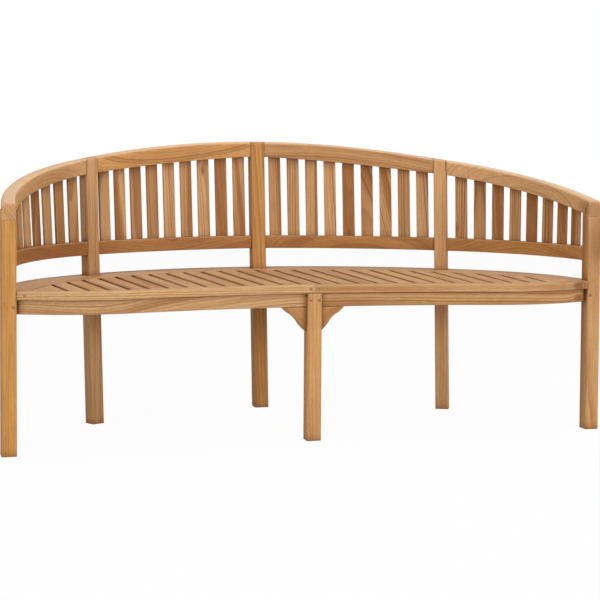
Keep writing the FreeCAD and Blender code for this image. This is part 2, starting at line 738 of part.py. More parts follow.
def corbel():
    """A bracket in the corner of the centre leg and the right apron: round at both ends, hollow between."""
    body = add("PartDesign::Body", "Corbel")
    sketch = new_sketch(body, "CorbelView", "XZ_Plane")
    left, top = dim["leg_width"] / 2, apron_base
    shares = ((1, 0), *CORBEL_TURNS, (0, 1))
    points = [(left + u * dim["corbel_reach"], top - v * dim["corbel_drop"]) for u, v in shares]
    waves = (-dim["corbel_wave"], dim["corbel_wave"], -dim["corbel_wave"])
    curve = [bulged_arc(points[i], points[i + 1], wave) for i, wave in enumerate(waves)]
    outline(sketch, curve + [line(points[-1], (left, top)), line((left, top), points[0])])
    pad(body, sketch, "Dims.corbel_thick", midplane=True)
    body.Placement = about_z(0, dim["centre_leg_front"] + apron_line, 0)
    return body


# Wooden plugs over the pins of the joints

def plug(name, point, inward, spare=0.0):
    """A round plug whose face is flush with the wood; its hole has spare room all round and at both ends."""
    solid = add("Part::Cylinder", name)
    bind(solid, Radius="Dims.plug_diameter / 2 + %g" % spare, Height="Dims.plug_length + 2 * %g" % spare)
    start = point - Vector(inward).normalize() * spare
    solid.Placement = Placement(start, Rotation(UP, inward))
    return solid


def plug_places():
    """The piece that each plug of the right-hand side sits in, its place and the way into the wood."""
    pair, front = dim["plug_pair_half"], dim["centre_leg_front"]
    end_x = half_width - dim["end_plug_inset"]
    yield "EndLeg", Vector(end_x, dim["end_leg_front"], dim["leg_plug_z"]), BACKWARD
    yield "CentreLeg", Vector(pair, front, dim["leg_plug_z"]), BACKWARD
    hollow, lobe = [edge.EndPoint for edge in front_edge(0.0, pair, dim["border_plug_x"])]
    raised = Vector(0, 0, dim["border_plug_z"])
    yield "FrontBorder", hollow + raised, hollow - Vector(*hollow_centre, 0)
    yield "FrontBorder", lobe + raised, Vector(*lobe_centre, 0) - lobe


def joint_plugs():
    """All plugs on both sides; their holes are added to the pieces they sit in."""
    solids = []
    for i, (support, point, inward) in enumerate(plug_places()):
        right = plug("Plug%d" % i, point, inward)
        solids += [right, mirror(right, "LeftPlug%d" % i)]
        cut_into(support, "Plug", plug("PlugHole%d" % i, point, inward, dim["fit_gap"]))
    return compound("Plugs", solids)


# Assembly of the sub-parts

def make_back():
    """Posts, top rails, arms and lower rails, with their tenons."""
    for side, name in enumerate(POST_NAMES):
        pieces[name] = raked_post(name, side)
        ease(pieces[name], rises)
        pieces[name + "Sides"] = raked_post(name + "Sides", side, deep=" + 2 * Dims.rail_thick")

    # The arm runs on a little past the front and is trimmed flush with its leg
    past = top_line.share_at_y(dim["end_leg_front"] - dim["rail_round"])
    before_leg = box("BeforeLeg", "2 * Dims.overall_width", "Dims.overall_width", "Dims.overall_width",
                     about_z(0, dim["end_leg_front"] - half_width, 0))
    pieces["ArmRail"] = cut("ArmRail", top_rail("Arm", 1, past), [before_leg])
    pieces["TopRail"] = top_rail("TopRail", 0, 1.0)
    pieces["LowRail"] = low_rail("LowRail", 0)
    pieces["EndRail"] = low_rail("EndRail", 1)

    rails = (("TopRail", top_line, 0, "rail_height"), ("ArmRail", top_line, 1, "rail_height"),
             ("LowRail", low_line, 0, "low_rail_height"), ("EndRail", low_line, 1, "low_rail_height"))
    for name, rail, bay, alias in rails:
        for side in ((1,) if bay else (0, 1)):
            (x, y), heading = rail.plan(0, side)
            level = rail.top(0, x, y) - rail.height / 2
            way = math.pi - heading if side > bay else -heading
            tenon(name, POST_NAMES[side], post_shoulder(side, level, way), way, alias)
    (end_x, end_y), end_heading = low_line.plan(1, 1.0)
    level = low_line.top(1, end_x, end_y) - low_line.height / 2
    tenon("EndRail", "EndLeg", Vector(end_x, end_leg_back, level), -end_heading, "low_rail_height")


def make_frame():
    """Front legs, aprons and the centre bearer, with their tenons."""
    to_arm = "Dims.arm_top_end - Dims.rail_height / 2"
    pieces["EndLeg"] = straight_leg("EndLeg", end_leg_x, end_leg_y, to_arm)
    pieces["CentreLeg"] = straight_leg("CentreLeg", 0, centre_leg_y, "Dims.seat_top - Dims.seat_board")
    arm_seat = Vector(dim["arm_end_x"], end_leg_y, dim["arm_top_end"] - dim["rail_height"])
    tenon("EndLeg", "ArmRail", arm_seat, math.pi / 2, "rail_height")

    apron = add("PartDesign::Body", "Apron")
    front_band(apron, "ApronPlan", "Dims.apron_setback", "Dims.apron_setback + Dims.apron_thick",
               dim["leg_width"] / 2, "Dims.seat_top - Dims.seat_board - Dims.apron_height",
               "Dims.apron_height")
    ease(apron, in_front(dim["apron_setback"], [apron_base]))
    pieces["Apron"] = apron
    level = apron_base + dim["apron_height"] / 2
    apron_end = front_edge(apron_line, dim["leg_width"] / 2, leg_inner)[1].EndPoint
    centre_face = Vector(dim["leg_width"] / 2, dim["centre_leg_front"] + apron_line, level)
    tenon("Apron", "CentreLeg", centre_face, 0.0, "apron_height")
    tenon("Apron", "EndLeg", Vector(leg_inner, apron_end.y, level), 0.0, "apron_height")

    side_middle = post_place(1, level)
    rear_middle = post_place(0, level)
    leg_face = Vector(end_leg_x, end_leg_back, level)
    spare = (leg_face - side_middle).normalize() * dim["apron_spare"]
    heading = straight_member("SideApron", leg_face + spare, side_middle, "Dims.apron_thick")
    tenon("SideApron", "SidePost", post_shoulder(1, level, heading + math.pi), heading, "apron_height")
    tenon("SideApron", "EndLeg", leg_face, heading, "apron_height")
    heading = straight_member("RearApron", rear_middle, side_middle, "Dims.apron_thick")
    tenon("RearApron", "SidePost", post_shoulder(1, level, heading + math.pi), heading, "apron_height")
    tenon("RearApron", "CentrePost", post_shoulder(0, level, heading), heading, "apron_height")
    heading = straight_member("Bearer", Vector(0, centre_leg_y, level), rear_middle, "Dims.bearer_thick")
    tenon("Bearer", "CentrePost", post_shoulder(0, level, -heading), heading, "apron_height")
    leg_back = Vector(0, dim["centre_leg_front"] + dim["leg_depth"], level)
    tenon("Bearer", "CentreLeg", leg_back, heading, "apron_height")


def make_seat():
    """Border boards of the seat, with the rooms that they leave for the legs and posts."""
    pieces["FrontBorder"] = front_border("FrontBorder", dim["board_gap"] / 2)
    ease(pieces["FrontBorder"], in_front(0.0, [dim["seat_top"], board_base]))
    pieces["FrontBorderRoom"] = front_border("FrontBorderRoom", 0.0, " + Dims.board_gap")
    border_end = front_edge(dim["front_border"] / 2, 0.0, leg_inner)[1].EndPoint
    border_middle = Vector(leg_inner, border_end.y, board_base + dim["seat_board"] / 2)
    tenon("FrontBorder", "EndLeg", border_middle, 0.0, "seat_board")
    pieces["RearBorder"] = rear_border("RearBorder", middle_board)
    pieces["EndBorder"] = rear_border("EndBorder", corner_board)
    for side, name in enumerate(POST_NAMES):
        clearance = " + 2 * Dims.board_gap"
        pieces[name + "Room"] = raked_post(name + "Room", side, clearance, clearance)
    pieces["EndLegRoom"] = box("EndLegRoom", "Dims.leg_width + 2 * Dims.board_gap",
                               "Dims.leg_depth + 2 * Dims.board_gap", "Dims.arm_top_end",
                               about_z(end_leg_x, end_leg_y, 0))


def keep_all():
    """Cut the joints of every piece and name the finished sub-parts."""
    places = list(slat_places())
    slats = [slat_box("BackSlat%d" % i, *place, 0.0) for i, place in enumerate(places)]
    housings = [slat_box("SlatHousing%d" % i, *place, dim["fit_gap"]) for i, place in enumerate(places)]
    plugs = joint_plugs()

    posts = [name + "Sides" for name in POST_NAMES]
    rails = (("TopRail", "top_rail", posts), ("ArmRail", "arm_rail", posts[1:]),
             ("LowRail", "lower_back_rail", posts), ("EndRail", "end_back_rail", ["SidePostSides", "EndLeg"]))
    for name, label, stops in rails:
        keep_pair(joined(name, stops=stops, rooms=housings), label)
    keep_pair(compound("BackSlats", slats), "back_slats")

    keep_pair(joined("EndLeg", stops=["ArmRail"]), "front_leg")
    keep(joined("CentreLeg"), "centre_front_leg")
    keep_pair(joined("SidePost", rounded_top("SidePost", 1)), "back_post")
    keep(joined("CentrePost", rounded_top("CentrePost", 0)), "centre_back_post")

    keep_pair(joined("Apron"), "front_apron")
    keep_pair(joined("SideApron", stops=["SidePost", "EndLeg"]), "side_apron")
    keep_pair(joined("RearApron", stops=POST_NAMES), "rear_apron")
    keep(joined("Bearer", stops=["CentrePost", "CentreLeg"]), "centre_seat_bearer")
    keep_pair(corbel(), "corbel")

    keep_pair(joined("FrontBorder"), "front_seat_rail")
    keep_pair(joined("RearBorder", stops=["SidePostRoom", "CentrePostRoom"]), "rear_seat_board")
    corner = joined("EndBorder", stops=["SidePostRoom", "EndLegRoom"], rooms=[pieces["FrontBorderRoom"]])
    keep_pair(corner, "end_seat_board")

    field = slat_field()
    keep(seat_slat(0, field), "seat_slat_centre")
    for number in range(1, SEAT_SLATS_PER_SIDE + 2):
        keep_pair(seat_slat(number, field), "seat_slat_%02d" % number)
    keep(plugs, "joint_plugs")


def check_and_write():
    failed = [obj.Name for obj in doc.Objects if {"Invalid", "Error"} & set(obj.State)]
    for obj in nodes:
        if obj.Shape.isNull() or not obj.Shape.isValid() or not obj.Shape.Solids:
            failed.append(obj.Label)
    if failed:
        raise RuntimeError("failed objects: " + ", ".join(failed))
    os.makedirs("parts", exist_ok=True)
    for obj in nodes:
        obj.Shape.exportStep("parts/%s.step" % obj.Label)


make_back()
make_frame()
make_seat()
keep_all()
doc.recompute()
check_and_write()
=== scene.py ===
"""Looks of the curved garden bench: oiled teak, soft arrises, studio light and the camera.

Units are metres and the frame is the part's own: +X to the right, +Y to the back, +Z up.
"""

from collections import namedtuple
import math
import random

import bpy
import numpy as np
from mathutils import Matrix, Vector

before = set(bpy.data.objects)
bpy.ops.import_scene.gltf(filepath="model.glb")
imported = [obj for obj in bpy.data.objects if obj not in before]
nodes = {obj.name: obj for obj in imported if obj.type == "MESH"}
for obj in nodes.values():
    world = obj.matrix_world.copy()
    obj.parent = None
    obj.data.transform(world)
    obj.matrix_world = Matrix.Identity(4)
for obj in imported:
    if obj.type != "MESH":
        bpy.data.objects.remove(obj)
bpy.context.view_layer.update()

# Camera: place, turn and lens that give the photograph's perspective
CAMERA_PLACE = Vector((-1.2755, -4.5937, 0.8476))
CAMERA_PAN = 0.2803
CAMERA_PITCH = 0.0489
CAMERA_ROLL = 0.0066
CAMERA_SENSOR = 36.0
CAMERA_LENS = 92.40
CAMERA_SHIFT_Y = -0.1249

# Soft boxes: place, the point they face, width and height, watts
SOFT_BOXES = {
    "left_key": ((-3.2, -4.0, 1.25), (0.0, 0.0, 0.5), (2.4, 1.0), 84.0),
    "right_key": ((3.0, -4.0, 1.25), (0.0, 0.0, 0.5), (2.4, 1.0), 84.0),
    "top": ((0.3, -0.6, 3.6), (0.0, 0.0, 0.4), (4.0, 2.5), 82.0),
}

# Floor and world: strength 1 is the white that the camera sees
WHITE = (1.0, 1.0, 1.0, 1.0)
SEEN_STRENGTH = 1.0
WORLD_STRENGTH = 0.27
FLOOR_HALF = 12.0
FLOOR_COLOUR = (0.86, 0.86, 0.86, 1.0)
FLOOR_GLOW = 0.96

# Colours of the wood, linear
TAN = (0.700, 0.412, 0.192, 1.0)
AMBER = (0.680, 0.325, 0.074, 1.0)
RUSSET = (0.368, 0.151, 0.045, 1.0)
BROWN = (0.200, 0.076, 0.022, 1.0)
PORE = (0.100, 0.040, 0.014, 1.0)
# wear and painted highlight: paler colour along the arrises
WEAR_AND_HIGHLIGHT = (0.760, 0.510, 0.290, 1.0)
# painted highlight: paler colour laid on faces and rims that face up
PAINTED_HIGHLIGHT = (0.800, 0.560, 0.360, 1.0)
END_GRAIN = (0.460, 0.230, 0.110, 1.0)

# Noise of the figure, in steps per metre along, across and through a piece, and how far it moves the pith
FIBRE_STEPS = (9.0, 380.0, 380.0)
HAIR_STEPS = (30.0, 1500.0, 1500.0)
PORE_STEPS = (70.0, 1900.0, 1900.0)
MOTTLE_STEPS = (2.6, 16.0, 16.0)
WANDER_STEPS = (2.4, 9.0, 9.0)
WANDER_DEPTH = (0.011, 0.011, 0.011)
NOISE_MEAN = (0.5, 0.5, 0.5)
ACROSS_GRAIN = (0.0, 1.0, 1.0)

# Growth rings: width, how far they drift (in rings), how sharply they darken to the outside,
# and the noise in steps per metre of radius
RING_WIDTH = 0.0075
RING_DRIFT = 1.6
RING_SHARPNESS = 2.5
DRIFT_STEPS = 30.0
STRENGTH_STEPS = 57.0
ZONE_STEPS = 23.0

# Knots: stretched along the grain, with the rings pushed out round them (in rings)
KNOT_SHAPE = (0.45, 1.0, 1.0)
KNOT_PUSH = 2.0
KNOT_SLACK = 0.012
MOST_KNOTS = 2

# Ranges: the two ends of what goes in, and what they become
RING_STRENGTH = (0.35, 0.65, 0.15, 1.0)
DARK_ZONE = (0.50, 0.62, 0.0, 1.0)
OPEN_PORE = (0.60, 0.72, 0.0, 1.0)
TURNED_EDGE = (0.995, 0.88, 0.0, 1.0)
PATCHY_WEAR_AND_HIGHLIGHT = (0.35, 0.60, 0.2, 1.0)
MOTTLE_TONE = (0.3, 0.7, -0.20, 0.24)
DARK_FIBRE = (0.34, 0.70, 0.0, 0.30)
DARK_HAIR = (0.40, 0.75, 0.0, 0.16)
IN_KNOT = (1.1, 0.5, 0.0, 1.0)
FACING_UP = (0.10, 0.50, 0.0, 1.0)
# painted shade: ambient occlusion darkens corners, gaps and joints towards brown
CORNER_SHADE = (0.90, 0.40, 0.0, 0.97)
FACING_END = (0.75, 0.95, 0.0, 1.0)
FIBRE_ROUGHNESS = (0.3, 0.7, 0.54, 0.68)

# Shares of the colours
ZONE_SHARE = 0.36
RING_SHARE = 0.70
PORE_SHARE = 0.32
END_SHARE = 0.55
WEAR_AND_HIGHLIGHT_SHARE = 0.40

# Surface: gloss, roughness added by pores and wear, and the relief
SPECULAR = 0.2
PORE_ROUGHNESS = 0.12
WORN_ROUGHNESS = 0.10
FIBRE_HEIGHT = 0.6
PORE_HEIGHT = -0.9
RING_HEIGHT = -0.35
RELIEF_STRENGTH = 0.35
RELIEF_DEPTH = 0.0006

# Reach of the painted shade in corners, of the painted highlight over upper edges and of the wear and
# painted highlight along edges, and their samples
SHADE_REACH = 0.025
HIGHLIGHT_REACH = 0.011
WORN_REACH = 0.0035
REACH_SAMPLES = 4

# Edges: planed ones are in the solids, the rest are softened here
SOFT_ARRIS = 0.0018
SEAT_ARRIS = 0.0012
ARRIS_ANGLE = math.radians(50)
WELD_GAP = 1e-5
PLANED = ("front_leg", "back_post", "front_seat_rail", "front_apron", "joint_plugs")

# A grain direction with more height than this counts as upright
UPRIGHT = 0.5

# Decimals to which corners of a solid meet, and to which the places of solids are compared
CORNER_DECIMALS = 5
ORDER_DECIMALS = 3

# What chance gives: the pith's distance, the grain's lean, the place in the tree, tone and warmth
PITH_REACH = (0.04, 0.15)
MOST_LEAN = 0.04
TREE_SIZE = 9.0
PLAIN_TONE = (0.02, 0.38)
PLAIN_WARMTH = (0.0, 0.30)
SLAT_LEAN = 0.03
SLAT_WARMTH = (0.0, 0.12)
SLAT_FIGURE = (1.5, 2.3)

# A piece's wood: share of russet (below zero is paler), of amber against tan, depth of the figure,
# lean of the grain across and through, share of a brown stain, share of the painted highlight on what
# faces up, and the pith's place across and through
Wood = namedtuple("Wood", "tone warmth figure lean stain bleach pith",
                  defaults=(1.0, None, 0.0, 0.10, None))
WOODS = {
    "left_front_leg": Wood(0.13, 0.92, 0.8),
    "right_front_leg": Wood(0.26, 0.24, 1.3, (0.05, -0.03)),
    "centre_front_leg": Wood(0.11, 0.45, 0.8),
    "left_back_post": Wood(0.30, 0.0),
    "centre_back_post": Wood(0.38, 0.80),
    "right_back_post": Wood(-0.20, 0.15, 0.8),
    "left_top_rail": Wood(0.07, 0.60, bleach=0.55),
    "right_top_rail": Wood(0.23, 0.12, 1.3, bleach=0.55),
    "left_arm_rail": Wood(0.06, 0.10, bleach=0.55),
    "right_arm_rail": Wood(-0.20, 0.05, 0.7, bleach=0.55),
    "left_lower_back_rail": Wood(0.74, 0.60),
    "right_lower_back_rail": Wood(0.66, 0.60),
    "left_end_back_rail": Wood(0.90, 0.60),
    "right_end_back_rail": Wood(0.38, 0.70),
    "left_front_seat_rail": Wood(-0.06, 0.0, lean=(0.0, -0.008), pith=(0.03, 0.32)),
    "right_front_seat_rail": Wood(0.03, 0.05, 1.2, (0.0, 0.010), pith=(0.02, 0.35)),
    "left_front_apron": Wood(0.03, 0.0, 1.4, (0.02, 0.07)),
    "right_front_apron": Wood(-0.14, 0.24, 1.9, (0.0, 0.020), pith=(0.03, 0.20)),
    "left_corbel": Wood(0.22, 0.45),
    "right_corbel": Wood(0.22, 0.45),
}
PLUG_WOOD = Wood(1.0, 0.5)

# Stain of the plugs, from left to right
PLUG_STAINS = (0.6, 0.1, 0.5, 0.4, 0.5, 0.4, 0.1, 0.8)

# Share of russet of the back slats, from left to right
SLAT_TONES = {
    "left_back_slats": (0.28, 0.30, 0.40, 0.28, 0.66, 0.16, 0.72, 0.50,
                        0.28, 0.08, 0.38, 0.68, 0.10, 0.30, 0.10, 0.76, 0.46),
    "right_back_slats": (0.30, 0.22, 0.28, 0.06, 0.90, 0.62, 0.24, 0.26, 0.16,
                         0.22, 0.16, 0.62, 0.16, 0.92, 0.06, 0.52, 0.04),
}

# Slats with a figure that crosses them, by their number from the left
SLAT_LEANS = {
    "left_back_slats": {8: -0.22, 10: 0.10, 16: 0.08},
    "right_back_slats": {4: 0.06, 5: 0.25, 6: 0.25, 11: 0.10, 15: 0.14},
}

# Knots and dark marks, at most two on a solid: place, size and share of brown
KNOTS = {
    "left_back_slats": (((-0.187, 0.343, 0.779), 0.009, 0.72),
                        ((-0.224, 0.319, 0.595), 0.006, 0.80)),
    "right_back_slats": (((0.310, 0.304, 0.706), 0.010, 0.72),
                         ((0.305, 0.293, 0.571), 0.007, 0.72),
                         ((0.618, 0.137, 0.590), 0.013, 0.72)),
    "left_back_post": (((-0.600, 0.142, 0.488), 0.004, 0.80),
                       ((-0.608, 0.159, 0.731), 0.008, 0.72)),
    "left_lower_back_rail": (((-0.296, 0.295, 0.551), 0.010, 0.60),),
    "right_front_seat_rail": (((0.827, -0.365, 0.4435), 0.021, 0.85),),
    "right_front_apron": (((0.832, -0.346, 0.403), 0.014, 0.60),),
    "right_arm_rail": (((0.876, -0.350, 0.668), 0.034, 0.45),),
    "right_front_leg": (((0.896, -0.350, 0.580), 0.045, 0.45),),
}
# For a solid with fewer knots: far away and without colour
NO_KNOT = ((9.0, 9.0, 9.0), 0.01, 0.0)


# Shader helpers

def add_node(tree, kind, inputs=None, **settings):
    """A shader node with its settings and the values or links of its inputs."""
    made = tree.nodes.new(kind)
    for name, value in settings.items():
        setattr(made, name, value)
    for key, value in (inputs or {}).items():
        socket = made.inputs[key]
        if isinstance(value, bpy.types.NodeSocket):
            tree.links.new(value, socket)
        else:
            socket.default_value = value
    return made


def math_node(tree, operation, *values, clamp=False):
    made = add_node(tree, "ShaderNodeMath", dict(enumerate(values)),
                    operation=operation, use_clamp=clamp)
    return made.outputs[0]


def vector_node(tree, operation, *values, output=0):
    made = add_node(tree, "ShaderNodeVectorMath", dict(enumerate(values)), operation=operation)
    return made.outputs[output]


def mix_colours(tree, share, first, second):
    """Two colours mixed; the Mix node's colour sockets are found by number."""
    made = add_node(tree, "ShaderNodeMix", {0: share, 6: first, 7: second}, data_type="RGBA")
    return made.outputs[2]


def noise(tree, place, steps, detail=2.0):
    """Noise in a piece's own axes, with its steps per metre along, across and through."""
    stretched = vector_node(tree, "MULTIPLY", place, steps)
    return add_node(tree, "ShaderNodeTexNoise",
                    {"Vector": stretched, "Scale": 1.0, "Detail": detail})


def line_noise(tree, value, steps, detail=1.0):
    """Noise along one line."""
    made = add_node(tree, "ShaderNodeTexNoise", {"W": value, "Scale": steps, "Detail": detail},
                    noise_dimensions="1D")
    return made.outputs["Fac"]


def remap(tree, value, ends):
    """A value moved from one range to another, and held inside it."""
    low, high, to_low, to_high = ends
    made = add_node(tree, "ShaderNodeMapRange", {"Value": value, "From Min": low, "From Max": high,
                                                 "To Min": to_low, "To Max": to_high})
    return made.outputs[0]


def axis_of(tree, vector, number):
    return add_node(tree, "ShaderNodeSeparateXYZ", {0: vector}).outputs[number]


def rounded_normal(tree, reach):
    """The normal as if the edges were rounded that far."""
    return add_node(tree, "ShaderNodeBevel", {"Radius": reach}, samples=REACH_SAMPLES).outputs[0]


def new_material(name):
    """An empty material and its node tree."""
    material = bpy.data.materials.new(name)
    material.use_nodes = True
    material.node_tree.nodes.clear()
    return material, material.node_tree


# The figure of the wood, as one group that every piece uses

def group_sockets(tree):
    """Inputs and outputs of the group; returns the inputs inside it."""
    knots = [(text % number, kind) for number in range(MOST_KNOTS)
             for text, kind in (("Knot %d", "Vector"), ("Size %d", "Float"), ("Depth %d", "Float"))]
    for name, kind in (("Place", "Vector"), ("Pith", "Vector"), ("Lean", "Vector"), ("Shift", "Vector"),
                       ("Tone", "Float"), ("Warmth", "Float"), ("Figure", "Float"), ("Stain", "Float"),
                       ("Bleach", "Float"), ("End", "Float"), *knots):
        tree.interface.new_socket(name, in_out="INPUT", socket_type="NodeSocket" + kind)
    for name, kind in (("Colour", "Color"), ("Roughness", "Float"), ("Normal", "Vector")):
        tree.interface.new_socket(name, in_out="OUTPUT", socket_type="NodeSocket" + kind)
    return tree.nodes.new("NodeGroupInput").outputs


def knot_reach(tree, given, number):
    """Distance from a knot, one at its rim."""
    away = vector_node(tree, "SUBTRACT", given["Place"], given["Knot %d" % number])
    away = vector_node(tree, "MULTIPLY", away, KNOT_SHAPE)
    distance = vector_node(tree, "LENGTH", away, output=1)
    return math_node(tree, "DIVIDE", distance, given["Size %d" % number])


def pith_radius(tree, given, moved, reaches):
    """Distance from a pith that leans and wanders, pushed out round the knots."""
    along = axis_of(tree, given["Place"], 0)
    lengths = add_node(tree, "ShaderNodeCombineXYZ", {0: along, 1: along, 2: along}).outputs[0]
    leaned = vector_node(tree, "MULTIPLY_ADD", given["Lean"], lengths, given["Place"])
    wander = noise(tree, moved, WANDER_STEPS).outputs["Color"]
    wander = vector_node(tree, "SUBTRACT", wander, NOISE_MEAN)
    wander = vector_node(tree, "MULTIPLY", wander, WANDER_DEPTH)
    spot = vector_node(tree, "SUBTRACT", vector_node(tree, "ADD", leaned, wander), given["Pith"])
    spot = vector_node(tree, "MULTIPLY", spot, ACROSS_GRAIN)
    radius = vector_node(tree, "LENGTH", spot, output=1)
    for reach in reaches:
        fading = math_node(tree, "MULTIPLY_ADD", reach, reach, 1.0)
        push = math_node(tree, "DIVIDE", KNOT_PUSH * RING_WIDTH, fading)
        radius = math_node(tree, "ADD", radius, push)
    return radius


def growth_rings(tree, given, moved, reaches):
    """Late wood of the rings, and the dark zones between them."""
    radius = pith_radius(tree, given, moved, reaches)
    counted = math_node(tree, "ADD", radius, axis_of(tree, given["Shift"], 0))
    even = math_node(tree, "DIVIDE", radius, RING_WIDTH)
    drift = line_noise(tree, counted, DRIFT_STEPS)
    count = math_node(tree, "MULTIPLY_ADD", drift, RING_DRIFT, even)
    late = math_node(tree, "POWER", math_node(tree, "FRACT", count), RING_SHARPNESS)
    strength = remap(tree, line_noise(tree, counted, STRENGTH_STEPS), RING_STRENGTH)
    zone = remap(tree, line_noise(tree, counted, ZONE_STEPS), DARK_ZONE)
    return math_node(tree, "MULTIPLY", late, strength), zone


def worn_and_highlit_edge(tree, soft_normal, mottle):
    """Share of wear and of a painted highlight: along the edges, where the softened normal leaves the
    face's own.
    """
    flat = add_node(tree, "ShaderNodeNewGeometry").outputs["True Normal"]
    turned = vector_node(tree, "DOT_PRODUCT", soft_normal, flat, output=1)
    on_edge = remap(tree, turned, TURNED_EDGE)
    return math_node(tree, "MULTIPLY", on_edge, remap(tree, mottle, PATCHY_WEAR_AND_HIGHLIGHT))


def ground_colour(tree, given, mottle, late, zone):
    """Colour of the wood with its zones and rings."""
    tone = math_node(tree, "ADD", given["Tone"], remap(tree, mottle, MOTTLE_TONE))
    zone = math_node(tree, "MULTIPLY", zone, given["Figure"])
    tone = math_node(tree, "MULTIPLY_ADD", zone, ZONE_SHARE, tone, clamp=True)
    pale = mix_colours(tree, given["Warmth"], TAN, AMBER)
    ground = mix_colours(tree, tone, pale, RUSSET)
    ring = math_node(tree, "MULTIPLY", late, given["Figure"])
    ring = math_node(tree, "MULTIPLY", ring, RING_SHARE, clamp=True)
    return mix_colours(tree, ring, ground, BROWN)


def marked_colour(tree, given, colour, reaches):
    """The colour with knots, stain and a painted highlight on upper faces."""
    for number, reach in enumerate(reaches):
        knot = math_node(tree, "MULTIPLY", remap(tree, reach, IN_KNOT), given["Depth %d" % number])
        colour = mix_colours(tree, knot, colour, BROWN)
    colour = mix_colours(tree, given["Stain"], colour, BROWN)
    # painted highlight: faces and rounded rims that face up are made paler
    upward = axis_of(tree, rounded_normal(tree, HIGHLIGHT_REACH), 2)
    highlighted = math_node(tree, "MULTIPLY", remap(tree, upward, FACING_UP), given["Bleach"])
    return mix_colours(tree, highlighted, colour, PAINTED_HIGHLIGHT)


def corner_shaded_colour(tree, colour):
    """The colour with painted shade in corners, gaps and joints, from ambient occlusion."""
    # painted shade: darker where ambient occlusion finds corners, gaps and joints
    shut_in = add_node(tree, "ShaderNodeAmbientOcclusion", {"Distance": SHADE_REACH},
                       samples=REACH_SAMPLES).outputs["AO"]
    return mix_colours(tree, remap(tree, shut_in, CORNER_SHADE), colour, BROWN)


def teak_group():
    """Growth rings, fibres, pores, knots, worn edges with a painted highlight, a painted highlight on
    upper faces and painted shade in corners, in a piece's own axes (X along the grain).
    """
    tree = bpy.data.node_groups.new("teak_figure", "ShaderNodeTree")
    given = group_sockets(tree)
    moved = vector_node(tree, "ADD", given["Place"], given["Shift"])
    reaches = [knot_reach(tree, given, number) for number in range(MOST_KNOTS)]
    late, zone = growth_rings(tree, given, moved, reaches)
    fibre = noise(tree, moved, FIBRE_STEPS).outputs["Fac"]
    hair = noise(tree, moved, HAIR_STEPS).outputs["Fac"]
    pore = remap(tree, noise(tree, moved, PORE_STEPS, detail=1.0).outputs["Fac"], OPEN_PORE)
    mottle = noise(tree, moved, MOTTLE_STEPS, detail=3.0).outputs["Fac"]
    soft_normal = rounded_normal(tree, WORN_REACH)
    wear_and_highlight = worn_and_highlit_edge(tree, soft_normal, mottle)

    colour = ground_colour(tree, given, mottle, late, zone)
    colour = mix_colours(tree, remap(tree, fibre, DARK_FIBRE), colour, BROWN)
    colour = mix_colours(tree, remap(tree, hair, DARK_HAIR), colour, PORE)
    colour = mix_colours(tree, math_node(tree, "MULTIPLY", pore, PORE_SHARE), colour, PORE)
    colour = mix_colours(tree, math_node(tree, "MULTIPLY", given["End"], END_SHARE), colour, END_GRAIN)
    colour = marked_colour(tree, given, colour, reaches)
    # wear and painted highlight: the arrises are made paler
    colour = mix_colours(tree, math_node(tree, "MULTIPLY", wear_and_highlight, WEAR_AND_HIGHLIGHT_SHARE), colour, WEAR_AND_HIGHLIGHT)
    colour = corner_shaded_colour(tree, colour)

    rough = remap(tree, fibre, FIBRE_ROUGHNESS)
    rough = math_node(tree, "MULTIPLY_ADD", pore, PORE_ROUGHNESS, rough)
    rough = math_node(tree, "MULTIPLY_ADD", wear_and_highlight, WORN_ROUGHNESS, rough)
    height = math_node(tree, "MULTIPLY", fibre, FIBRE_HEIGHT)
    height = math_node(tree, "MULTIPLY_ADD", pore, PORE_HEIGHT, height)
    height = math_node(tree, "MULTIPLY_ADD", late, RING_HEIGHT, height)
    relief = add_node(tree, "ShaderNodeBump", {"Height": height, "Normal": soft_normal,
                                               "Strength": RELIEF_STRENGTH, "Distance": RELIEF_DEPTH})
    add_node(tree, "NodeGroupOutput",
             {"Colour": colour, "Roughness": rough, "Normal": relief.outputs[0]})
    return tree


figure = teak_group()


# Wood for each piece

def grain_axes(points):
    """Middle of a piece and the turn whose columns are its length, width and thickness directions."""
    middle = points.mean(0)
    _, directions = np.linalg.eigh(np.cov((points - middle).T))
    along, wide = Vector(directions[:, 2]), Vector(directions[:, 1])
    if along.z < -UPRIGHT or (abs(along.z) <= UPRIGHT and along.x < 0):
        along.negate()
    if wide.x < 0:
        wide.negate()
    return Vector(middle), Matrix((along, wide, along.cross(wide))).transposed()


def grown(name, wood):
    """How a piece grew: its pith, the lean of its grain and its place in the tree."""
    draw = random.Random(name)
    angle = draw.uniform(0.0, 2 * math.pi)
    reach = draw.uniform(*PITH_REACH)
    pith = wood.pith or (reach * math.cos(angle), reach * math.sin(angle))
    lean = wood.lean or [draw.uniform(-MOST_LEAN, MOST_LEAN) for _ in range(2)]
    shift = [draw.uniform(0.0, TREE_SIZE) for _ in range(3)]
    return {"Pith": (0.0, *pith), "Lean": (0.0, *lean), "Shift": shift}


def knot_inputs(axes, knots):
    """The group's inputs for a solid's knots, in the solid's own axes."""
    middle, turn = axes
    given = {}
    for number in range(MOST_KNOTS):
        place, size, depth = knots[number] if number < len(knots) else NO_KNOT
        local = turn.transposed() @ (Vector(place) - middle)
        given.update({"Knot %d" % number: local, "Size %d" % number: size, "Depth %d" % number: depth})
    return given


